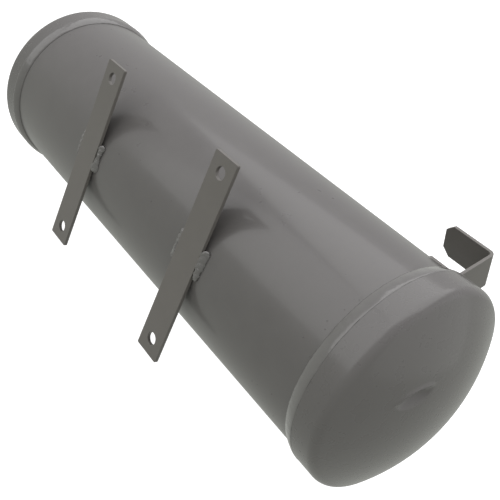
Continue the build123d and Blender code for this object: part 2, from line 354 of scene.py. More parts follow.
@dataclass(frozen=True)
class TankPaint:
    """Sprayed semi-gloss grey enamel over rolled or pressed steel."""

    name: str
    tone: Tone = Tone(0.116, 0.112, 0.108)
    roughness: float = 0.30
    coat: float = 0.35
    coat_roughness: float = 0.12
    peel_scale: float = 260.0
    peel_depth: float = 0.000014
    ripple_depth: float = 0.0
    draw_along_x: bool = False

    def build(self) -> bpy.types.Material:
        """Make the material."""
        s = Surface(self.name)
        cloud = s.noise(s.place, 5.0, 4.0, 0.55)
        mottle = s.noise(s.place, 60.0, 3.0, 0.6)
        grit = s.noise(s.place, 900.0, 2.0, 0.5)
        shade = 0.55 * cloud + 0.30 * mottle + 0.15 * grit
        tint = s.blend(shade.ramp(0.36, 0.64), self.tone.scaled(0.96), self.tone.scaled(1.04))
        height = s.noise(s.place, self.peel_scale, 2.0, 0.45)
        if self.draw_along_x:
            drawn = s.noise(s.stretch(s.place, (0.5, 26.0, 26.0)), 3.0, 3.0, 0.5)
            height = height + 1.6 * drawn
        if self.ripple_depth:
            lumps = s.noise(s.place, 130.0, 3.0, 0.6)
            height = height + lumps * (self.ripple_depth / self.peel_depth)
        s.bump(height, self.peel_depth)
        s.set(
            Base_Color=tint,
            Roughness=self.roughness + 0.10 * (mottle - 0.5) + 0.08 * (cloud - 0.5),
            Coat_Weight=self.coat,
            Coat_Roughness=self.coat_roughness,
            Specular_IOR_Level=0.5,
        )
        return s.material


@dataclass(frozen=True)
class BareMetal:
    """Unpainted steel or copper, brushed or plated, with stains and fine scratches."""

    name: str
    tone: Tone
    stain: Tone
    roughness: float = 0.30
    stain_scale: float = 40.0
    stain_amount: float = 0.5
    scratch_stretch: tuple[float, float, float] = (0.03, 1.0, 1.0)
    scratch_depth: float = 0.00002

    def build(self) -> bpy.types.Material:
        """Make the material."""
        s = Surface(self.name)
        stains = s.noise(s.place, self.stain_scale, 5.0, 0.62).ramp(0.40, 0.68)
        scratches = s.noise(s.stretch(s.place, self.scratch_stretch), 2600.0, 2.0, 0.5)
        tint = s.blend(stains * self.stain_amount, self.tone, self.stain)
        s.bump(scratches, self.scratch_depth)
        s.set(
            Base_Color=tint,
            Metallic=1.0,
            Roughness=self.roughness + 0.18 * stains + 0.10 * (scratches - 0.5),
        )
        return s.material


@dataclass(frozen=True)
class MarkedStick:
    """Plated rod with level bands etched across its flattened end."""

    name: str
    axis: tuple[float, float, float]
    start: float
    pitch: float
    bands: int
    tone: Tone = Tone(0.55, 0.55, 0.54)

    def build(self) -> bpy.types.Material:
        """Make the material."""
        s = Surface(self.name)
        dot = s.add("ShaderNodeVectorMath", {"operation": "DOT_PRODUCT"}, {0: s.place, 1: self.axis})
        along = Value(s, dot.outputs["Value"])
        step = (along - self.start) / self.pitch
        inside = step.above(0.0) * (1.0 - step.above(float(self.bands)))
        band = (step.fraction() - 0.5).size()
        mark = (1.0 - band.ramp(0.06, 0.11)) * inside
        scratches = s.noise(s.stretch(s.place, (1.0, 0.1, 0.1)), 1800.0, 2.0, 0.5)
        s.bump(0.7 * scratches - mark, 0.00004)
        s.set(
            Base_Color=s.blend(mark * 0.85, self.tone, Tone(0.02, 0.02, 0.02)),
            Metallic=1.0 - 0.6 * mark,
            Roughness=0.26 + 0.14 * scratches + 0.2 * mark,
        )
        return s.material


@dataclass(frozen=True)
class WireCloth:
    """Woven wire wrapped round an axis along X."""

    name: str
    centre: tuple[float, float]
    radius: float
    pitch: float = 0.0021

    def build(self) -> bpy.types.Material:
        """Make the material."""
        s = Surface(self.name)
        x, y, z = s.split(s.place)
        turn = (z - self.centre[1]).angle_from(y - self.centre[0]) * self.radius
        rings = (x * (math.pi / self.pitch)).sin()
        bars = (turn * (math.pi / self.pitch)).sin()
        weave = rings * rings * 0.5 + bars * bars * 0.5
        s.bump(weave, 0.0004)
        s.set(
            # Near black, non-metal and rough where the weave is low, between the wires: painted shade.
            Base_Color=s.blend(weave.ramp(0.2, 0.8), Tone(0.03, 0.03, 0.028), Tone(0.42, 0.41, 0.38)),
            Metallic=0.9 * weave.ramp(0.1, 0.5),
            Roughness=0.55 - 0.25 * weave,
        )
        return s.material


@dataclass(frozen=True)
class PunchedCup:
    """Plated sheet with round holes, punched in staggered rows round a slanting axis."""

    name: str
    origin: tuple[float, float, float]
    axis: tuple[float, float, float]
    radius: float
    pitch: float = 0.0032
    hole: float = 0.0009
    tone: Tone = Tone(0.58, 0.58, 0.57)

    def build(self) -> bpy.types.Material:
        """Make the material."""
        s = Surface(self.name)
        away = s.add("ShaderNodeVectorMath", {"operation": "SUBTRACT"}, {0: s.place, 1: self.origin})
        out = Vector(self.axis)
        side = Vector((1.0, 0.0, 0.0))
        over = out.cross(side)
        parts = []
        for direction in (out, side, over):
            dot = s.add(
                "ShaderNodeVectorMath",
                {"operation": "DOT_PRODUCT"},
                {0: away.outputs["Vector"], 1: tuple(direction)},
            )
            parts.append(Value(s, dot.outputs["Value"]))
        along, across, up = parts
        row = along / self.pitch
        whole = row - row.fraction()
        turn = up.angle_from(across) * (self.radius / self.pitch) + 0.5 * whole
        u = (turn.fraction() - 0.5) * self.pitch
        v = (row.fraction() - 0.5) * self.pitch
        gap = (u * u + v * v).root()
        wall = along.above(-0.034) * (1.0 - along.above(0.006))
        hole = (1.0 - gap.ramp(self.hole - 0.0001, self.hole + 0.0001)) * wall
        grain = s.noise(s.place, 700.0, 2.0, 0.5)
        s.bump(grain, 0.00002)
        s.set(
            Base_Color=s.blend(grain.ramp(0.3, 0.7), self.tone.scaled(0.85), self.tone),
            Metallic=1.0,
            Roughness=0.25 + 0.15 * grain,
            Alpha=1.0 - hole,
        )
        return s.material


@dataclass(frozen=True)
class MattRubber:
    """Moulded nitrile rubber with a dusty bloom."""

    name: str
    tone: Tone = Tone(0.018, 0.018, 0.019)

    def build(self) -> bpy.types.Material:
        """Make the material."""
        s = Surface(self.name)
        bloom = s.noise(s.place, 180.0, 4.0, 0.6)
        s.bump(s.noise(s.place, 1500.0, 2.0, 0.5), 0.00003)
        s.set(
            Base_Color=s.blend(bloom.ramp(0.45, 0.75), self.tone, self.tone.scaled(2.4)),
            Roughness=0.62 + 0.2 * bloom,
        )
        return s.material


@dataclass(frozen=True)
class FilterFoam:
    """Open-cell foam."""

    name: str
    tone: Tone = Tone(0.028, 0.028, 0.031)

    def build(self) -> bpy.types.Material:
        """Make the material."""
        s = Surface(self.name)
        cells = s.add("ShaderNodeTexVoronoi", {"feature": "F1"}, {"Vector": s.place, "Scale": 900.0})
        depth = Value(s, cells.outputs["Distance"])
        s.bump(depth, 0.0006)
        s.set(
            # Darker in the pits of the cells and lighter on the ridges between them: painted shade.
            Base_Color=s.blend(depth.ramp(0.2, 0.7), self.tone.scaled(0.4), self.tone.scaled(1.8)),
            Roughness=0.85 + 0.1 * depth,
        )
        return s.material


@dataclass(frozen=True)
class StudioFloor:
    """Plain pale backdrop paper."""

    name: str = "studio_floor"

    def build(self) -> bpy.types.Material:
        """Make the material."""
        s = Surface(self.name)
        fibre = s.noise(s.place, 8.0, 3.0, 0.5)
        s.set(
            Base_Color=s.blend(fibre, Tone(0.40, 0.40, 0.40), Tone(0.43, 0.43, 0.43)),
            Roughness=0.9,
            Emission_Color=Tone(1.0, 1.0, 1.0).rgba,
            Emission_Strength=0.95,
        )
        return s.material


class Finish(enum.Enum):
    """Finishes of the whole tank, each built once and shared."""

    TUBE_PAINT = "tube_paint"
    CAP_PAINT = "cap_paint"
    BAR_PAINT_WITH_PAINTED_LIGHT = "bar_paint_with_painted_light"
    BEAD_PAINT = "bead_paint"
    OILED_STEEL = "oiled_steel"
    ZINC_PLATE = "zinc_plate"
    COPPER = "copper"
    RUBBER = "rubber"
    FOAM = "foam"
    MAGNET = "magnet"


@dataclass
class FinishShelf:
    """Makes each shared finish the first time that it is asked for."""

    made: dict[Finish, bpy.types.Material] = field(default_factory=dict)

    def recipe(self, finish: Finish) -> TankPaint | BareMetal | MattRubber | FilterFoam:
        """Look up how a finish is made.

        Args:
            finish: The finish wanted.

        Returns:
            Its recipe.
        """
        steel = Tone(0.42, 0.41, 0.40)
        return {
            Finish.TUBE_PAINT: TankPaint("tube_paint", draw_along_x=True),
            Finish.CAP_PAINT: TankPaint("cap_paint", roughness=0.27),
            # Bars and bosses get a lighter copy of the tube's grey paint: the grey is real paint, the added
            # lightness is painted light.
            Finish.BAR_PAINT_WITH_PAINTED_LIGHT: TankPaint(
                "bar_paint_with_painted_light", tone=Tone(0.140, 0.132, 0.121), roughness=0.38, coat=0.2
            ),
            Finish.BEAD_PAINT: TankPaint(
                "bead_paint", tone=Tone(0.130, 0.127, 0.122), roughness=0.20, coat=0.8, ripple_depth=0.00018
            ),
            Finish.OILED_STEEL: BareMetal(
                "oiled_steel", steel.scaled(0.6), Tone(0.10, 0.08, 0.06), 0.34, 25.0, 0.7
            ),
            Finish.ZINC_PLATE: BareMetal(
                "zinc_plate", Tone(0.60, 0.61, 0.60), Tone(0.50, 0.47, 0.36), 0.30, 55.0, 0.45,
                (1.0, 1.0, 1.0), 0.000012
            ),
            Finish.COPPER: BareMetal(
                "annealed_copper", Tone(0.62, 0.28, 0.17), Tone(0.25, 0.11, 0.07), 0.32, 90.0, 0.6
            ),
            Finish.RUBBER: MattRubber("nitrile_rubber"),
            Finish.FOAM: FilterFoam("filter_foam"),
            Finish.MAGNET: BareMetal("sintered_magnet", Tone(0.16, 0.16, 0.17), Tone(0.08, 0.08, 0.08), 0.45),
        }[finish]

    def get(self, finish: Finish) -> bpy.types.Material:
        """Give the material of a finish, made once."""
        if finish not in self.made:
            self.made[finish] = self.recipe(finish).build()
        return self.made[finish]


# ---------------------------------------------------------------------------------------------
# Mesh helpers
# ---------------------------------------------------------------------------------------------


def object_from_arrays(name: str, points: np.ndarray, faces: list[tuple[int, ...]]) -> bpy.types.Object:
    """Make a mesh object that sits at the origin.

    Args:
        name: Name of the object and its mesh.
        points: Vertex places, one row each, in metres.
        faces: Vertex numbers of each face.

    Returns:
        The linked object.
    """
    mesh = bpy.data.meshes.new(name)
    mesh.from_pydata(points.tolist(), [], faces)
    mesh.update()
    made = bpy.data.objects.new(name, mesh)
    bpy.context.scene.collection.objects.link(made)
    return made


def tidy_mesh(made: bpy.types.Object, merge: float = 2e-6, crease: float = 32.0) -> None:
    """Merge doubles, point the faces outwards and shade smooth up to a crease angle.

    Args:
        made: Object whose mesh is tidied.
        merge: Largest gap between points that are merged, in metres.
        crease: Angle in degrees over which an edge stays sharp.
    """
    bm = bmesh.new()
    bm.from_mesh(made.data)
    bmesh.ops.remove_doubles(bm, verts=bm.verts, dist=merge)
    bmesh.ops.dissolve_degenerate(bm, edges=bm.edges, dist=merge)
    bmesh.ops.recalc_face_normals(bm, faces=bm.faces)
    bm.to_mesh(made.data)
    bm.free()
    made.data.shade_smooth()
    made.data.set_sharp_from_angle(angle=math.radians(crease))


def dress(made: bpy.types.Object, material: bpy.types.Material) -> None:
    """Give an object one material in every slot."""
    if not made.data.materials:
        made.data.materials.append(material)
    for slot in made.material_slots:
        slot.material = material


@dataclass(frozen=True)
class Axle:
    """A turning axis: a point on it, its direction and a direction across it."""

    origin: Vector
    along: Vector
    across: Vector

    @property
    def over(self) -> Vector:
        """Direction square to the other two."""
        return self.along.cross(self.across)

    def place(self, height: float, radius: float, angle: float) -> Vector:
        """A point by its height along the axis, its radius and its turn in radians."""
        swing = self.across * math.cos(angle) + self.over * math.sin(angle)
        return self.origin + self.along * height + swing * radius


@dataclass(frozen=True)
class Thread:
    """A screw thread cut into a stretch of a turned piece."""

    start: float
    end: float
    pitch: float
    depth: float
    inside: bool

    def cut(self, height: float, angle: float) -> float:
        """How far the groove moves the wall out from the axis here, in metres."""
        if not self.start < height < self.end:
            return 0.0
        fade = min(1.0, (height - self.start) / self.pitch, (self.end - height) / self.pitch)
        phase = (height / self.pitch - angle / (2 * math.pi)) % 1.0
        groove = self.depth * min(1.0, 1.15 * (1.0 - abs(2.0 * phase - 1.0))) * fade
        return groove if self.inside else -groove


@dataclass(frozen=True)
class Rim:
    """One ring of a turned piece; with sides, a milled one whose corners a limit rounds off."""

    height: float
    radius: float
    sides: int = 0
    limit: float = math.inf

    def wall(self, angle: float) -> float:
        """Distance of the ring from the axis at a turn in radians."""
        if not self.sides:
            return self.radius
        step = 2 * math.pi / self.sides
        off = (angle + step / 2) % step - step / 2
        return min(self.radius / math.cos(off), self.limit)


@dataclass(frozen=True)
class TurnedPiece:
    """A piece turned on a lathe from an outline of rims, with threads cut into it."""

    name: str
    axle: Axle
    outline: tuple[Rim, ...]
    threads: tuple[Thread, ...] = ()
    hollow: bool = True
    steps: int = 96

    def _thread_between(self, first: Rim, last: Rim) -> Thread | None:
        """The thread that runs on the wall between two rims, if any."""
        for thread in self.threads:
            level = abs(first.radius - last.radius) < 1e-9 and not first.sides
            low, high = sorted((first.height, last.height))
            within = low < thread.end and high > thread.start
            if level and within and thread.inside == (last.height < first.height):
                return thread
        return None

    def _rows(self) -> list[tuple[Rim, Thread | None]]:
        """Divide the outline, finely where a thread runs."""
        rows: list[tuple[Rim, Thread | None]] = []
        for first, last in zip(self.outline, self.outline[1:] + self.outline[:1]):
            thread = self._thread_between(first, last)
            span = last.height - first.height
            count = max(1, round(abs(span) / (thread.pitch / 8))) if thread else 1
            rows.append((first, thread))
            rows += [
                (Rim(first.height + span * k / count, first.radius), thread) for k in range(1, count)
            ]
        return rows

    def build(self) -> bpy.types.Object:
        """Make the piece's mesh object."""
        rows = self._rows()
        points = []
        for rim, thread in rows:
            for k in range(self.steps):
                angle = 2 * math.pi * k / self.steps
                cut = thread.cut(rim.height, angle) if thread else 0.0
                points.append(self.axle.place(rim.height, rim.wall(angle) + cut, angle))
        faces = []
        for i in range(len(rows) if self.hollow else len(rows) - 1):
            for k in range(self.steps):
                here, there = i * self.steps, (i + 1) % len(rows) * self.steps
                ahead = (k + 1) % self.steps
                faces.append((here + k, here + ahead, there + ahead, there + k))
        made = object_from_arrays(self.name, np.array(points), faces)
        tidy_mesh(made)
        return made


# ---------------------------------------------------------------------------------------------
# Geometry node trees
# ---------------------------------------------------------------------------------------------


class Recipe(Graph):
    """A geometry node tree with named inputs, run once on an object."""

    def __init__(self, name: str, inputs: dict[str, tuple[str, object]]) -> None:
        """Start a tree.

        Args:
            name: Name of the tree.
            inputs: Socket type and default value of each input, by name.
        """
        group = bpy.data.node_groups.new(name, "GeometryNodeTree")
        super().__init__(group)
        group.interface.new_socket("Geometry", in_out="INPUT", socket_type="NodeSocketGeometry")
        group.interface.new_socket("Geometry", in_out="OUTPUT", socket_type="NodeSocketGeometry")
        self.keys: dict[str, str] = {}
        for label, (kind, default) in inputs.items():
            socket = group.interface.new_socket(label, in_out="INPUT", socket_type=kind)
            if default is not None:
                socket.default_value = default
            self.keys[label] = socket.identifier
        self.entry = self.add("NodeGroupInput")
        self.exit = self.add("NodeGroupOutput")

    def given(self, label: str) -> Value:
        """The value of a named input."""
        return Value(self, self.entry.outputs[label])

    def finish(self, geometry: bpy.types.NodeSocket) -> None:
        """End the tree in Realize Instances and Set Material."""
        real = self.add("GeometryNodeRealizeInstances", None, {"Geometry": geometry})
        painted = self.add(
            "GeometryNodeSetMaterial",
            None,
            {"Geometry": real.outputs[0], "Material": self.entry.outputs["Material"]},
        )
        self.feed(self.exit.inputs["Geometry"], painted.outputs[0])

    def run(self, host: bpy.types.Object, name: str, **inputs: object) -> bpy.types.Object:
        """Run the tree on a host object and keep the result as a plain mesh.

        Args:
            host: Object that the tree starts from; it is removed.
            name: Name of the finished object.
            inputs: Values of the tree's inputs, named with underscores for spaces.

        Returns:
            The finished mesh object.
        """
        modifier = host.modifiers.new("recipe", "NODES")
        modifier.node_group = self.tree
        for label, given in inputs.items():
            modifier[self.keys[label.replace("_", " ")]] = given
        seen = host.evaluated_get(bpy.context.evaluated_depsgraph_get())
        mesh = bpy.data.meshes.new_from_object(seen)
        mesh.name = name
        host.modifiers.remove(modifier)
        bpy.data.objects.remove(host)
        made = bpy.data.objects.new(name, mesh)
        bpy.context.scene.collection.objects.link(made)
        return made


class BeadRecipe(Recipe):
    """Lays a rippled weld bead along a seam.

    The seam is a mesh line whose points carry a "side" and an "up" direction: side runs across
    the bead and up runs out of it.
    """

    def __init__(self) -> None:
        """Build the tree."""
        super().__init__(
            "weld_bead",
            {
                "Width": ("NodeSocketFloat", 0.008),
                "Height": ("NodeSocketFloat", 0.002),
                "Sink": ("NodeSocketFloat", 0.001),
                "Ripple Pitch": ("NodeSocketFloat", 0.004),
                "Ripple Depth": ("NodeSocketFloat", 0.0004),
                "Wander": ("NodeSocketFloat", 0.2),
                "Open Ends": ("NodeSocketFloat", 0.0),
                "Seed": ("NodeSocketFloat", 1.0),
                "Along": ("NodeSocketInt", 400),
                "Around": ("NodeSocketInt", 20),
                "Material": ("NodeSocketMaterial", None),
            },
        )
        line = self.add("GeometryNodeMeshToCurve", None, {"Mesh": self.entry.outputs["Geometry"]})
        sheet = self.add(
            "GeometryNodeMeshGrid",
            None,
            {
                "Size X": 1.0,
                "Size Y": 1.0,
                "Vertices X": self.entry.outputs["Along"],
                "Vertices Y": self.entry.outputs["Around"],
            },
        )
        x, y, _ = self.split(self.add("GeometryNodeInputPosition").outputs[0])
        share = (x + 0.5).at_least(0.0).at_most(1.0)
        turn = (y + 0.5) * (2 * math.pi)
        base = self._sampled(line, share, None)
        side = self._sampled(line, share, "side")
        up = self._sampled(line, share, "up")
        length = Value(self, self.add("GeometryNodeCurveLength", None, {0: line.outputs[0]}).outputs[0])

        shifted = self.add(
            "ShaderNodeVectorMath",
            {"operation": "ADD"},
            {0: base, 1: self.join(self.given("Seed"), 0.0, 0.0)},
        ).outputs["Vector"]
        slow = self.noise(shifted, 70.0, 2.0, 0.5) - 0.5
        quick = self.noise(shifted, 260.0, 3.0, 0.6) - 0.5
        across = turn.cos()
        rise = turn.sin()
        phase = share * length / self.given("Ripple Pitch") + 0.45 * across * across + 1.4 * slow
        ripple = (phase * math.pi).sin().size() * self.given("Ripple Depth")
        ends = share * 2.0 - 1.0
        taper = (1.0 - (ends**2.0) ** 5.0).at_least(0.0).root()
        taper = 1.0 + (taper - 1.0) * self.given("Open Ends")
        width = self.given("Width") * 0.5 * (1.0 + self.given("Wander") * (1.6 * slow + 0.9 * quick))
        crown = self.given("Height") * (1.0 + 0.7 * self.given("Wander") * (slow + quick)) + ripple
        outward = rise.at_least(0.0) * crown + rise.at_most(0.0) * self.given("Sink")
        moved = base
        for direction, amount in ((side, across * width * taper), (up, outward * taper)):
            step = self.add("ShaderNodeVectorMath", {"operation": "SCALE"}, {0: direction, "Scale": amount})
            moved = self.add(
                "ShaderNodeVectorMath", {"operation": "ADD"}, {0: moved, 1: step.outputs["Vector"]}
            ).outputs["Vector"]
        laid = self.add(
            "GeometryNodeSetPosition", None, {"Geometry": sheet.outputs["Mesh"], "Position": moved}
        )
        closed = self.add(
            "GeometryNodeMergeByDistance", None, {"Geometry": laid.outputs[0], "Distance": 0.000004}
        )
        self.finish(closed.outputs[0])

    def _sampled(
        self, line: bpy.types.Node, share: Value, attribute: str | None
    ) -> bpy.types.NodeSocket:
        """Read the seam at a share of its length: its place, or an attribute by name."""
        inputs = {"Curves": line.outputs[0], "Factor": share}
        if attribute is None:
            node = self.add("GeometryNodeSampleCurve", {"mode": "FACTOR"}, inputs)
            return node.outputs["Position"]
        named = self.add(
            "GeometryNodeInputNamedAttribute", {"data_type": "FLOAT_VECTOR"}, {"Name": attribute}
        )
        node = self.add(
            "GeometryNodeSampleCurve",
            {"mode": "FACTOR", "data_type": "FLOAT_VECTOR"},
            inputs | {"Value": named.outputs["Attribute"]},
        )
        return node.outputs["Value"]


class SpatterRecipe(Recipe):
    """Scatters small frozen weld drops over a round tank beside its end seams."""

    def __init__(self) -> None:
        """Build the tree."""
        super().__init__(
            "weld_spatter",
            {
                "Count": ("NodeSocketInt", 60),
                "Start": ("NodeSocketFloat", 0.0),
                "Reach": ("NodeSocketFloat", 0.05),
                "Surface Radius": ("NodeSocketFloat", 0.1),
                "Axis Y": ("NodeSocketFloat", 0.0),
                "Drop": ("NodeSocketFloat", 0.0006),
                "Seed": ("NodeSocketInt", 1),
                "Material": ("NodeSocketMaterial", None),
            },
        )
        points = self.add("GeometryNodePoints", None, {"Count": self.entry.outputs["Count"]})
        angle = self._random(0.0, 2 * math.pi, 1)
        near = self._random(0.0, 1.0, 2)
        x = self.given("Start") + self.given("Reach") * near * near
        y = angle.cos() * self.given("Surface Radius") + self.given("Axis Y")
        z = angle.sin() * self.given("Surface Radius")
        placed = self.add(
            "GeometryNodeSetPosition", None, {"Geometry": points.outputs[0], "Position": self.join(x, y, z)}
        )
        drop = self.add("GeometryNodeMeshIcoSphere", None, {"Radius": 1.0, "Subdivisions": 2})
        size = self.given("Drop") * self._random(0.35, 1.0, 3)
        scattered = self.add(
            "GeometryNodeInstanceOnPoints",
            None,
            {
                "Points": placed.outputs[0],
                "Instance": drop.outputs["Mesh"],
                "Scale": self.join(size, size, size),
            },
        )
        self.finish(scattered.outputs[0])

    def _random(self, low: float, high: float, salt: int) -> Value:
        """A number between two limits for each point, from the tree's seed."""
        seed = self.given("Seed") * 7.0 + float(salt)
        node = self.add(
            "FunctionNodeRandomValue", {"data_type": "FLOAT"}, {2: low, 3: high, "Seed": seed}
        )
        return Value(self, node.outputs[1])


@dataclass(frozen=True)
class Seam:
    """The line that a weld bead follows, with its side and up direction at each point."""

    points: list[Vector]
    sides: list[Vector]
    ups: list[Vector]
    closed: bool

    def host(self) -> bpy.types.Object:
        """Make the mesh line that the bead recipe reads."""
        mesh = bpy.data.meshes.new("seam")
        count = len(self.points)
        edges = [(k, k + 1) for k in range(count - 1)]
        if self.closed:
            edges.append((count - 1, 0))
        mesh.from_pydata([tuple(p) for p in self.points], edges, [])
        for label, rows in (("side", self.sides), ("up", self.ups)):
            attribute = mesh.attributes.new(label, "FLOAT_VECTOR", "POINT")
            attribute.data.foreach_set("vector", np.array([tuple(v) for v in rows]).ravel())
        made = bpy.data.objects.new("seam", mesh)
        bpy.context.scene.collection.objects.link(made)
        return made


@dataclass
class Welder:
    """Lays beads along seams and joins those of one node."""

    shelf: FinishShelf
    recipe: BeadRecipe = field(default_factory=BeadRecipe)
    seed: float = 0.0

    def lay(
        self,
        name: str,
        seam: Seam,
        width: float,
        height: float,
        sink: float,
        pitch: float = 0.0042,
        depth: float = 0.0004,
        wander: float = 0.25,
        along: int = 260,
    ) -> bpy.types.Object:
        """Lay one bead.

        Args:
            name: Name of the bead's object.
            seam: Line to follow.
            width: Bead's width in metres.
            height: Its crown over the seam.
            sink: Its root under the seam.
            pitch: Distance between ripples.
            depth: Height of a ripple.
            wander: How unsteady the bead is, from zero.
            along: Points along the bead.

        Returns:
            The bead's mesh object.
        """
        self.seed += 1.37
        made = self.recipe.run(
            seam.host(),
            name,
            Width=width,
            Height=height,
            Sink=sink,
            Ripple_Pitch=pitch,
            Ripple_Depth=depth,
            Wander=wander,
            Open_Ends=0.0 if seam.closed else 1.0,
            Seed=self.seed,
            Along=along,
            Around=21,
            Material=self.shelf.get(Finish.BEAD_PAINT),
        )
        tidy_mesh(made, 4e-6, 80.0)
        return made

    def stand_for(self, node: str, beads: list[bpy.types.Object]) -> bpy.types.Object:
        """Join a node's beads into one piece that replaces it.

        Args:
            node: CAD node that the beads stand for.
            beads: The beads.

        Returns:
            The joined piece.
        """
        joined = bmesh.new()
        for bead in beads:
            joined.from_mesh(bead.data)
        keep = beads[0]
        joined.to_mesh(keep.data)
        joined.free()
        for bead in beads[1:]:
            bpy.data.objects.remove(bead)
        keep.name = f"{node}_bead"
        keep.data.shade_smooth()
        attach(keep, "tank")
        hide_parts(node)
        return keep


# ---------------------------------------------------------------------------------------------
# The tank's own sizes and directions
# ---------------------------------------------------------------------------------------------


@dataclass(frozen=True)
class TankSizes:
    """Driving sizes of the tank, read from the frame, in metres."""

    axis_y: float
    shell_radius: float
    cap_radius: float
    near_toe: float
    near_lip: float
    near_apex: float
    far_toe: float
    far_lip: float
    far_apex: float
    dome_radius: float = 0.205

    @classmethod
    def from_frame(cls) -> "TankSizes":
        """Read the sizes off the CAD nodes' boxes."""
        tube, cap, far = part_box("shell_tube"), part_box("near_end_cap"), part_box("far_end_cap")
        near_weld, far_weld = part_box("near_cap_weld"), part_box("far_cap_weld")
        radius = (tube[1].z - tube[0].z) / 2
        return cls(
            axis_y=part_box("near_mounting_strap")[1].y + radius,
            shell_radius=radius,
            cap_radius=(cap[1].z - cap[0].z) / 2,
            near_toe=near_weld[0].x,
            near_lip=cap[0].x,
            near_apex=cap[1].x,
            far_toe=far_weld[1].x,
            far_lip=far[1].x,
            far_apex=far[0].x,
        )


def axle_at(centre: Vector, along: Vector, across: Vector = Vector((1.0, 0.0, 0.0))) -> Axle:
    """Make an axle whose across direction is square to the axis."""
    along = along.normalized()
    return Axle(centre, along, (across - along * across.dot(along)).normalized())


def seam_between(
    upper: list[Vector], lower: list[Vector], out: list[Vector], closed: bool
) -> tuple[Seam, float]:
    """Make the seam of a fillet weld that joins two edges.

    Args:
        upper: Points along the edge that stands up.
        lower: Points along the toe on the surface.
        out: A rough outward direction at each point.
        closed: Whether the seam is a ring.

    Returns:
        The seam halfway between the edges, and its mean width in metres.
    """
    count = len(upper)
    middle = [(a + b) / 2 for a, b in zip(upper, lower)]
    sides = [(b - a).normalized() for a, b in zip(upper, lower)]
    ups = []
    for k, side in enumerate(sides):
        before = middle[k - 1] if closed or k else middle[0]
        after = middle[(k + 1) % count] if closed or k + 1 < count else middle[-1]
        up = side.cross(after - before).normalized()
        ups.append(up if up.dot(out[k]) > 0 else -up)
    width = sum((b - a).length for a, b in zip(upper, lower)) / count
    return Seam(middle, sides, ups, closed), width


# ---------------------------------------------------------------------------------------------
# Sub-assemblies
# ---------------------------------------------------------------------------------------------


@dataclass
class PaintedShell:
    """The rolled tube, the far cap and the baffle."""

    shelf: FinishShelf

    def dress(self) -> None:
        """Paint the outside pieces and oil the inside one."""
        paint_nodes(self.shelf, Finish.TUBE_PAINT, "shell_tube")
        paint_nodes(self.shelf, Finish.CAP_PAINT, "far_end_cap")
        paint_nodes(self.shelf, Finish.OILED_STEEL, "baffle_plate")


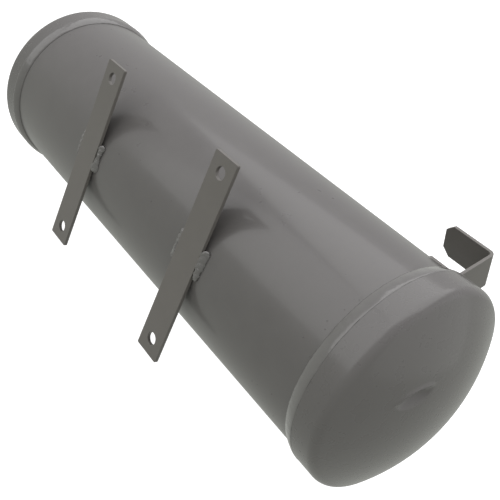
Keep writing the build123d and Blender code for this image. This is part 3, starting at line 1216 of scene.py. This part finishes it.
@dataclass
class DentedCap:
    """The near cap: a pressed dish whose dome took a knock."""

    sizes: TankSizes
    shelf: FinishShelf
    wall: float = 0.00435
    skirt: float = 0.0194
    knuckle: float = 0.011
    dent_radius: float = 0.0414
    dent_place: tuple[float, float] = (-0.0233, -0.0068)
    dent_rise: float = 0.0036
    dent_lean: tuple[float, float, float] = (1.0, -0.245, 0.193)
    rim_slope: float = 0.0008
    lip_height: float = 0.00135
    lip_width: float = 0.0012
    hollow_depth: float = 0.0036
    hollow_width: float = 0.0065
    hollow_fade: float = 0.0090
    steps: int = 384
    dome_rows: int = 92
    knuckle_rows: int = 16

    def _profile(self, inset: float, dome_rows: int, knuckle_rows: int) -> list[tuple[float, float]]:
        """Half section from the lip to the pole.

        Args:
            inset: How far the surface lies inside the outer one.
            dome_rows: Rows over the dome.
            knuckle_rows: Rows round the knuckle.

        Returns:
            Places as x and radius.
        """
        ring = self.sizes.cap_radius - self.knuckle
        corner_x = self.sizes.near_lip + self.skirt
        crown_x = self.sizes.near_apex - self.sizes.dome_radius
        lean = math.asin(ring / (self.sizes.dome_radius - self.knuckle))
        knuckle, dome = self.knuckle - inset, self.sizes.dome_radius - inset
        rows = [(self.sizes.near_lip + self.skirt * k / 5, ring + knuckle) for k in range(5)]
        for k in range(knuckle_rows):
            angle = math.pi / 2 + (lean - math.pi / 2) * k / knuckle_rows
            rows.append((corner_x + knuckle * math.cos(angle), ring + knuckle * math.sin(angle)))
        for k in range(dome_rows + 1):
            angle = lean * (1 - k / dome_rows)
            rows.append((crown_x + dome * math.cos(angle), dome * math.sin(angle)))
        return rows

    def _dent(self, points: np.ndarray) -> np.ndarray:
        """Push the dome in where the dent is.

        Args:
            points: Places on the dome.

        Returns:
            The moved places.
        """
        normal = np.array(Vector(self.dent_lean).normalized())
        centre = np.array(
            [
                self.sizes.near_apex + self.dent_rise,
                self.sizes.axis_y + self.dent_place[0],
                self.dent_place[1],
            ]
        )
        away = points - centre
        over = away @ normal
        reach = np.linalg.norm(away - over[:, None] * normal, axis=1) - self.dent_radius
        soft = 0.00025
        press = (over + np.sqrt(over**2 + soft**2)) / 2
        press[over < -0.003] = 0.0
        inside = np.clip(0.5 - reach / (2 * self.rim_slope), 0, 1)
        inside = inside * inside * (3 - 2 * inside)
        raised = np.exp(-(((reach - self.lip_width) / self.lip_width) ** 2)) * np.clip(over / 0.001, 0, 1)
        fall = np.clip(-reach / self.hollow_width, 0, 1)
        fade = np.exp(-((np.clip(-reach - self.hollow_width, 0, None) / self.hollow_fade) ** 2))
        hollow = fall * fall * (3 - 2 * fall) * fade * np.clip(over / 0.001, 0, 1)
        shift = self.lip_height * raised - self.hollow_depth * hollow - press * inside
        return points + normal * shift[:, None]

    def build(self) -> bpy.types.Object:
        """Make the cap's mesh, dent it and paint it."""
        outer = self._profile(0.0, self.dome_rows, self.knuckle_rows)
        inner = self._profile(self.wall, self.dome_rows // 2, self.knuckle_rows // 2)[::-1]
        turn = np.linspace(0, 2 * math.pi, self.steps, endpoint=False)
        rings = [
            np.column_stack(
                [
                    np.full(self.steps, x),
                    self.sizes.axis_y + radius * np.cos(turn),
                    radius * np.sin(turn),
                ]
            )
            for x, radius in outer + inner
        ]
        points = self._dent(np.concatenate(rings))
        rows = len(rings)
        faces = [
            (
                i * self.steps + k,
                i * self.steps + (k + 1) % self.steps,
                (i + 1) % rows * self.steps + (k + 1) % self.steps,
                (i + 1) % rows * self.steps + k,
            )
            for i in range(rows)
            if i != len(outer) - 1
            for k in range(self.steps)
        ]
        made = object_from_arrays("near_cap_pressing", points, faces)
        tidy_mesh(made, crease=50.0)
        dress(made, self.shelf.get(Finish.CAP_PAINT))
        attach(made, "tank")
        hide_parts("near_end_cap")
        return made


@dataclass
class CapWelds:
    """The round beads that join the tube to its caps."""

    sizes: TankSizes
    welder: Welder
    crown: float = 0.0010
    root: float = 0.0026
    points: int = 240

    def build(self) -> list[bpy.types.Object]:
        """Lay both beads."""
        s = self.sizes
        made = []
        for node, toe, lip in (
            ("near_cap_weld", s.near_toe, s.near_lip),
            ("far_cap_weld", s.far_toe, s.far_lip),
        ):
            upper, lower, out = [], [], []
            for k in range(self.points):
                turn = 2 * math.pi * k / self.points
                ray = Vector((0.0, math.cos(turn), math.sin(turn)))
                centre = Vector((0.0, s.axis_y, 0.0))
                upper.append(centre + ray * s.cap_radius + Vector((lip, 0.0, 0.0)))
                lower.append(centre + ray * s.shell_radius + Vector((toe, 0.0, 0.0)))
                out.append(ray)
            seam, width = seam_between(upper, lower, out, True)
            bead = self.welder.lay(
                f"{node}_bead", seam, width, self.crown, self.root, pitch=0.013, depth=0.00012,
                wander=0.10, along=1400,
            )
            made.append(self.welder.stand_for(node, [bead]))
        return made


@dataclass
class MountingStraps:
    """The two flat bars and the short beads that hold them."""

    sizes: TankSizes
    shelf: FinishShelf
    welder: Welder
    bead_leg: float = 0.0065
    points: int = 24

    def build(self) -> list[bpy.types.Object]:
        """Paint the bars and lay two beads on each."""
        made = []
        for name in ("far", "near"):
            strap = f"{name}_mounting_strap"
            paint_nodes(self.shelf, Finish.BAR_PAINT_WITH_PAINTED_LIGHT, strap)
            low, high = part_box(strap)
            foot, head = (corner.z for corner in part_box(f"{name}_strap_welds"))
            beads = []
            for way, edge in ((-1.0, low.x), (1.0, high.x)):
                upper, lower, out = [], [], []
                for k in range(self.points):
                    z = foot + (head - foot) * k / (self.points - 1)
                    drop = math.sqrt(self.sizes.shell_radius**2 - z**2)
                    upper.append(Vector((edge - way * 0.0002, low.y + 0.0010, z)))
                    lower.append(Vector((edge + way * self.bead_leg, self.sizes.axis_y - drop, z)))
                    out.append(Vector((way, -1.0, 0.0)))
                seam, width = seam_between(upper, lower, out, False)
                beads.append(
                    self.welder.lay(
                        f"{name}_bead", seam, width, 0.0013, 0.0030, pitch=0.0071, depth=0.0009, wander=1.10,
                        along=150,
                    )
                )
            made.append(self.welder.stand_for(f"{name}_strap_welds", beads))
        return made


@dataclass
class HookBracket:
    """The bent flat bar at the near end and its two beads."""

    sizes: TankSizes
    shelf: FinishShelf
    welder: Welder
    angle: float = 28.6
    low_edge: float = -0.0026
    thickness: float = 0.0034
    foot: float = 0.043
    clip: float = 0.0086
    bead_leg: float = 0.006
    points: int = 20

    def _point(self, x: float, out: float, across: float) -> Vector:
        """A point by its x, its height over the tank's axis and its place across the bar."""
        turn = math.radians(self.angle)
        ray = Vector((0.0, math.cos(turn), math.sin(turn)))
        side = Vector((0.0, -math.sin(turn), math.cos(turn)))
        return Vector((x, self.sizes.axis_y, 0.0)) + ray * out + side * across

    def build(self) -> bpy.types.Object:
        """Paint the bar and lay its beads."""
        paint_nodes(self.shelf, Finish.BAR_PAINT_WITH_PAINTED_LIGHT, "hook_bracket")
        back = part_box("hook_bracket")[1].x
        foot_end = back - self.foot
        top = self.sizes.shell_radius + self.thickness - 0.0006
        ray = self._point(0.0, 1.0, 0.0) - self._point(0.0, 0.0, 0.0)
        side = self._point(0.0, 0.0, 1.0) - self._point(0.0, 0.0, 0.0)

        def on_shell(across: float) -> float:
            """Height of the tube's surface over its axis, across the bar."""
            return math.sqrt(self.sizes.shell_radius**2 - across**2)

        start, end = foot_end + self.clip + 0.001, back - 0.006
        toe = self.low_edge - self.bead_leg
        steps = [k / (self.points - 1) for k in range(self.points)]
        along = [start + (end - start) * t for t in steps]
        edge_seam = seam_between(
            [self._point(x, top, self.low_edge + 0.0002) for x in along],
            [self._point(x, on_shell(toe), toe) for x in along],
            [ray - side] * self.points,
            False,
        )
        first = self.low_edge + self.clip + 0.0005
        across = [first + 0.012 * t for t in steps]
        end_seam = seam_between(
            [self._point(foot_end + 0.0002, top, v) for v in across],
            [self._point(foot_end - self.bead_leg, on_shell(v), v) for v in across],
            [ray - Vector((1.0, 0.0, 0.0))] * self.points,
            False,
        )
        beads = [
            self.welder.lay(
                f"hook_bead_{k}", seam, width, 0.0010, 0.0026, pitch=0.0035, depth=0.0005,
                wander=0.35, along=150,
            )
            for k, (seam, width) in enumerate((edge_seam, end_seam))
        ]
        return self.welder.stand_for("hook_bracket_welds", beads)


@dataclass
class BossWelder:
    """Lays ring beads round bosses that stand on the tube or on a dome."""

    sizes: TankSizes
    welder: Welder
    leg: float = 0.004
    rise: float = 0.0034
    points: int = 72

    def ring(self, node: str, axle: Axle, radius: float, dome_centre: Vector | None) -> bpy.types.Object:
        """Lay one ring bead.

        Args:
            node: CAD node that the bead stands for.
            axle: The boss's axis, looking out of the tank.
            radius: The boss's outer radius.
            dome_centre: Centre of the dome it stands on, or None for the tube.

        Returns:
            The bead.
        """
        upper, lower, out = [], [], []
        for k in range(self.points):
            turn = 2 * math.pi * k / self.points
            swing = axle.across * math.cos(turn) + axle.over * math.sin(turn)
            near = self._land(axle, swing * (radius - 0.0002), dome_centre)
            upper.append(near + axle.along * self.rise)
            lower.append(self._land(axle, swing * (radius + self.leg), dome_centre))
            out.append(axle.along + swing)
        seam, width = seam_between(upper, lower, out, True)
        bead = self.welder.lay(
            f"{node}_bead", seam, width, 0.0008, 0.0018, pitch=0.0034, depth=0.0004, wander=0.2, along=420
        )
        return self.welder.stand_for(node, [bead])

    def _land(self, axle: Axle, offset: Vector, dome_centre: Vector | None) -> Vector:
        """Drop a point, offset from the boss's axis, on to the tank."""
        if dome_centre is None:
            centre, radius = Vector((axle.origin.x, self.sizes.axis_y, 0.0)), self.sizes.shell_radius
            aside = Vector((0.0, offset.y, offset.z)).length
        else:
            centre, radius = dome_centre, self.sizes.dome_radius
            foot = axle.origin + offset - dome_centre
            aside = (foot - axle.along * foot.dot(axle.along)).length
        height = math.sqrt(radius**2 - aside**2)
        start = axle.origin + offset
        level = (start - centre).dot(axle.along)
        return start + axle.along * (height - level)


@dataclass
class Filler:
    """The threaded neck with its screen, gasket, breathing cap and dipstick."""

    sizes: TankSizes
    shelf: FinishShelf
    bosses: BossWelder
    angle: float = 22.0
    neck_radius: float = 0.01905
    neck_bore: float = 0.0159
    neck_height: float = 0.014
    neck_depth: float = 0.006
    pitch: float = 0.0022
    stick_end: float = -0.062

    def axle(self) -> Axle:
        """The filler's axis, from the tank's axis outwards."""
        low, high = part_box("dipstick")
        turn = math.radians(self.angle)
        centre = Vector(((low.x + high.x) / 2, self.sizes.axis_y, 0.0))
        return axle_at(centre, Vector((0.0, math.cos(turn), math.sin(turn))))

    def build(self) -> list[bpy.types.Object]:
        """Make the neck and dress what screws into it."""
        axle = self.axle()
        shell = self.sizes.shell_radius
        low, high = shell - self.neck_depth, shell + self.neck_height
        edge = 0.0006
        neck = TurnedPiece(
            "filler_neck_turned",
            axle,
            (
                Rim(low, self.neck_bore),
                Rim(low, self.neck_radius - edge),
                Rim(low + edge, self.neck_radius),
                Rim(high - edge, self.neck_radius),
                Rim(high, self.neck_radius - edge),
                Rim(high, self.neck_bore),
            ),
            (Thread(shell + 0.0035, high - edge, self.pitch, 0.0008, False),),
        ).build()
        hang(neck, self.shelf.get(Finish.BAR_PAINT_WITH_PAINTED_LIGHT), "tank", "filler_neck")
        bead = self.bosses.ring("filler_neck_weld", axle, self.neck_radius, None)
        rim = axle.place(high, 0.0, 0.0)
        screen = PunchedCup("punched_screen", tuple(rim), tuple(axle.along), 0.0153)
        give_nodes(screen.build(), "filler_screen")
        paint_nodes(self.shelf, Finish.ZINC_PLATE, "filler_cap")
        paint_nodes(self.shelf, Finish.FOAM, "breather_element")
        paint_nodes(self.shelf, Finish.RUBBER, "filler_cap_gasket")
        start = axle.place(self.stick_end, 0.0, 0.0).dot(axle.along)
        stick = MarkedStick("marked_dipstick", tuple(axle.along), start + 0.004, 0.012, 5)
        give_nodes(stick.build(), "dipstick")
        return [neck, bead]


@dataclass
class Ports:
    """Suction and return ports on the far cap, and what they hold inside."""

    sizes: TankSizes
    shelf: FinishShelf
    bosses: BossWelder
    pitch: float = 0.0022
    edge: float = 0.0008

    def _port(self, name: str, bore: float, seat: float) -> list[bpy.types.Object]:
        """Make one port and its bead.

        Args:
            name: The port's CAD node.
            bore: Radius of its thread.
            seat: Radius of the wider seat at its inner end.

        Returns:
            The port and its bead.
        """
        low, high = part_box(name)
        middle = (low + high) / 2
        radius = (high.z - low.z) / 2
        start = Vector((high.x, middle.y, middle.z))
        axle = axle_at(start, Vector((-1.0, 0.0, 0.0)), Vector((0.0, 1.0, 0.0)))
        length, step, edge = high.x - low.x, 0.014, self.edge
        port = TurnedPiece(
            f"{name}_turned",
            axle,
            (
                Rim(0.0, seat),
                Rim(0.0, radius - edge),
                Rim(edge, radius),
                Rim(length - edge, radius),
                Rim(length, radius - edge),
                Rim(length, bore + 2 * edge),
                Rim(length - 2 * edge, bore),
                Rim(step, bore),
                Rim(step, seat),
            ),
            (Thread(step, length - 2 * edge, self.pitch, 0.0009, True),),
        ).build()
        hang(port, self.shelf.get(Finish.BAR_PAINT_WITH_PAINTED_LIGHT), "tank", name)
        centre = Vector((self.sizes.far_apex + self.sizes.dome_radius, self.sizes.axis_y, 0.0))
        return [port, self.bosses.ring(f"{name}_weld", axle, radius, centre)]

    def build(self) -> list[bpy.types.Object]:
        """Make both ports and dress the strainer and the return tube."""
        made = self._port("suction_port", 0.0147, 0.0156) + self._port("return_port", 0.0117, 0.01275)
        low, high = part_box("suction_strainer_mesh")
        cloth = WireCloth(
            "strainer_cloth", ((low.y + high.y) / 2, (low.z + high.z) / 2), (high.z - low.z) / 2
        )
        give_nodes(cloth.build(), "suction_strainer_mesh")
        paint_nodes(self.shelf, Finish.ZINC_PLATE, "suction_strainer_head", "suction_strainer_end")
        paint_nodes(self.shelf, Finish.OILED_STEEL, "return_tube")
        return made


@dataclass
class Drain:
    """The drain socket and its magnetic plug."""

    sizes: TankSizes
    shelf: FinishShelf
    bosses: BossWelder
    bore: float = 0.0091
    shank: float = 0.00905
    pitch: float = 0.0018
    flats: float = 0.022
    head: float = 0.008
    magnet: float = 0.004
    pocket: float = 0.004
    edge: float = 0.0006

    def build(self) -> list[bpy.types.Object]:
        """Make the socket and the plug, and dress the washer and the magnet."""
        low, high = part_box("drain_socket")
        middle, radius = (low + high) / 2, (high.x - low.x) / 2
        axle = axle_at(Vector((middle.x, middle.y, high.z)), Vector((0.0, 0.0, -1.0)))
        length, edge = high.z - low.z, self.edge
        socket = TurnedPiece(
            "drain_socket_turned",
            axle,
            (
                Rim(0.0, self.bore),
                Rim(0.0, radius - edge),
                Rim(edge, radius),
                Rim(length - edge, radius),
                Rim(length, radius - edge),
                Rim(length, self.bore + edge),
                Rim(length - edge, self.bore),
            ),
            (Thread(0.0, length - edge, self.pitch, 0.0006, True),),
        ).build()
        hang(socket, self.shelf.get(Finish.BAR_PAINT_WITH_PAINTED_LIGHT), "tank", "drain_socket")
        bead = self.bosses.ring("drain_socket_weld", axle, radius, None)
        plug = self._plug(axle)
        paint_nodes(self.shelf, Finish.COPPER, "drain_washer")
        paint_nodes(self.shelf, Finish.MAGNET, "drain_magnet")
        return [socket, bead, plug]

    def _plug(self, axle: Axle) -> bpy.types.Object:
        """Make the hexagon-headed plug with its threaded shank and magnet pocket."""
        low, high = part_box("drain_plug")
        seat = high.z - low.z - self.head
        tip, half, corner = seat + self.head, self.flats / 2, self.flats / math.sqrt(3)
        shank, edge = self.shank, self.edge
        slopes = [
            Rim(tip - 0.0022 * (1 - t), half, 6, corner - (corner - 0.93 * half) * t * t)
            for t in (0.0, 0.25, 0.5, 0.75, 1.0)
        ]
        outline = (
            Rim(self.pocket, 0.0),
            Rim(self.pocket, self.magnet),
            Rim(0.0, self.magnet),
            Rim(0.0, shank - 2 * edge),
            Rim(2 * edge, shank),
            Rim(seat, shank),
            Rim(seat, half, 6, 1.03 * half),
            Rim(seat + 0.0010, half, 6),
            *slopes,
            Rim(tip, half * 0.55),
            Rim(tip - 0.0004, half * 0.50),
            Rim(tip - 0.0004, 0.0),
        )
        plug = TurnedPiece(
            "drain_plug_turned",
            axle,
            outline,
            (Thread(2 * edge, seat - 0.0012, self.pitch, 0.0006, False),),
            hollow=False,
        ).build()
        hang(plug, self.shelf.get(Finish.ZINC_PLATE), "plug", "drain_plug")
        return plug


@dataclass
class Spatter:
    """Small drops of weld metal frozen on to the tube under the paint."""

    sizes: TankSizes
    shelf: FinishShelf

    def build(self) -> list[bpy.types.Object]:
        """Scatter drops beside both cap welds."""
        recipe = SpatterRecipe()
        made = []
        for name, start, reach, count, seed in (
            ("near_spatter", self.sizes.near_toe - 0.001, -0.060, 22, 3),
            ("far_spatter", self.sizes.far_toe + 0.001, 0.050, 18, 8),
        ):
            mesh = bpy.data.meshes.new("spatter_host")
            host = bpy.data.objects.new("spatter_host", mesh)
            bpy.context.scene.collection.objects.link(host)
            drops = recipe.run(
                host,
                name,
                Count=count,
                Start=start,
                Reach=reach,
                Surface_Radius=self.sizes.shell_radius,
                Axis_Y=self.sizes.axis_y,
                Drop=0.00055,
                Seed=seed,
                Material=self.shelf.get(Finish.BEAD_PAINT),
            )
            drops.data.shade_smooth()
            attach(drops, "tank")
            made.append(drops)
        return made


def paint_nodes(shelf: FinishShelf, finish: Finish, *nodes: str) -> None:
    """Give CAD nodes a shared finish."""
    give_nodes(shelf.get(finish), *nodes)


def give_nodes(material: bpy.types.Material, *nodes: str) -> None:
    """Give CAD nodes a material in every slot."""
    for node in nodes:
        dress(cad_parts[node], material)


def hang(
    made: bpy.types.Object, material: bpy.types.Material, body: str, node: str
) -> None:
    """Dress a piece, let it ride on its body and let it stand for its CAD node.

    Args:
        made: The piece.
        material: Its material.
        body: CAD body that it rides on.
        node: CAD node that it replaces.
    """
    dress(made, material)
    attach(made, body)
    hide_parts(node)


# ---------------------------------------------------------------------------------------------
# Studio
# ---------------------------------------------------------------------------------------------


@dataclass(frozen=True)
class SoftBox:
    """A square area light that looks at the tank."""

    name: str
    place: tuple[float, float, float]
    size: float
    power: float

    def build(self, aim: Vector) -> None:
        """Hang the light."""
        lamp = bpy.data.lights.new(self.name, "AREA")
        lamp.shape, lamp.size, lamp.energy = "SQUARE", self.size, self.power
        held = bpy.data.objects.new(self.name, lamp)
        held.location = self.place
        held.rotation_euler = (aim - held.location).to_track_quat("-Z", "Y").to_euler()
        bpy.context.scene.collection.objects.link(held)


@dataclass(frozen=True)
class Studio:
    """Floor, lights and camera.

    The floor lies below the drain plug's travel, so that the loosened plug stays in sight.
    """

    overhead: Tone = Tone(0.80, 0.775, 0.80)
    underneath: Tone = Tone(0.52, 0.53, 0.495)
    floor_span: float = 60.0
    floor_drop: float = 0.06
    camera_place: tuple[float, float, float] = (0.53699, -0.42858, 0.30377)
    heading: float = 42.3318
    tilt: float = -20.2049
    roll: float = 23.7220
    lens: float = 53.2056
    shift_y: float = -0.1

    def build(self) -> None:
        """Lay the floor, hang the lights and place the camera."""
        low, high = CAD_BOX
        self._floor(low.z - self.floor_drop)
        self._world()
        centre = (low + high) / 2
        for box in (
            SoftBox("overhead_box", (-0.2, 0.3, 2.1), 2.6, 24.0),
            SoftBox("left_box", (-1.0, -2.2, 1.6), 2.8, 21.0),
            SoftBox("right_box", (2.6, 1.6, 0.9), 3.2, 9.0),
        ):
            box.build(centre)
        self._camera()
        bpy.context.scene.view_settings.view_transform = "Standard"

    def _floor(self, level: float) -> None:
        """Lay a wide pale floor that sweeps up all round, so that no horizon shows.

        Args:
            level: Height of the floor.
        """
        turns, rows = 64, [(0.30, 0.0), (0.80, 0.0), (0.93, 0.02), (0.98, 0.08), (1.0, 0.2)]
        points = [(0.0, 0.0, level)]
        for share, lift in rows:
            for k in range(turns):
                angle = 2 * math.pi * k / turns
                reach = share * self.floor_span / 2
                rise = level + lift * self.floor_span
                points.append((reach * math.cos(angle), reach * math.sin(angle), rise))
        faces: list[tuple[int, ...]] = [(0, 1 + k, 1 + (k + 1) % turns) for k in range(turns)]
        for row in range(len(rows) - 1):
            first = 1 + row * turns
            for k in range(turns):
                ahead = (k + 1) % turns
                faces.append((first + k, first + turns + k, first + turns + ahead, first + ahead))
        floor = object_from_arrays("studio_floor", np.array(points), faces)
        floor.visible_diffuse = False
        floor.visible_glossy = False
        dress(floor, StudioFloor().build())

    def _world(self) -> None:
        """Fill the room with soft light, paler overhead than underneath."""
        world = bpy.data.worlds.new("studio")
        world.use_nodes = True
        room = Graph(world.node_tree)
        _, _, height = room.split(room.add("ShaderNodeTexCoord").outputs["Generated"])
        shade = room.add(
            "ShaderNodeMix",
            {"data_type": "RGBA"},
            {0: height.ramp(-0.25, 1.0), 6: self.underneath.rgba, 7: self.overhead.rgba},
        )
        room.feed(world.node_tree.nodes["Background"].inputs["Color"], shade.outputs[2])
        bpy.context.scene.world = world

    def _camera(self) -> None:
        """Place the camera."""
        lens = bpy.data.cameras.new("camera")
        lens.lens, lens.sensor_width, lens.shift_y = self.lens, 36.0, self.shift_y
        lens.clip_start, lens.clip_end = 0.01, 100.0
        held = bpy.data.objects.new("camera", lens)
        turn = (
            Matrix.Rotation(math.radians(self.heading), 4, "Z")
            @ Matrix.Rotation(math.radians(90.0 + self.tilt), 4, "X")
            @ Matrix.Rotation(math.radians(self.roll), 4, "Z")
        )
        held.matrix_world = Matrix.Translation(self.camera_place) @ turn
        bpy.context.scene.collection.objects.link(held)
        bpy.context.scene.camera = held


def main() -> None:
    """Build every sub-assembly in order and report each piece."""
    logging.basicConfig(level=logging.INFO, format="%(name)s: %(message)s")
    sizes = TankSizes.from_frame()
    shelf = FinishShelf()
    welder = Welder(shelf)
    bosses = BossWelder(sizes, welder)
    PaintedShell(shelf).dress()
    made = [DentedCap(sizes, shelf).build()]
    made += CapWelds(sizes, welder).build()
    made += MountingStraps(sizes, shelf, welder).build()
    made.append(HookBracket(sizes, shelf, welder).build())
    made += Filler(sizes, shelf, bosses).build()
    made += Ports(sizes, shelf, bosses).build()
    made += Drain(sizes, shelf, bosses).build()
    made += Spatter(sizes, shelf).build()
    Studio().build()
    for piece in made:
        LOG.info("%s: %d faces", piece.name, len(piece.data.polygons))


if __name__ == "__main__":
    main()
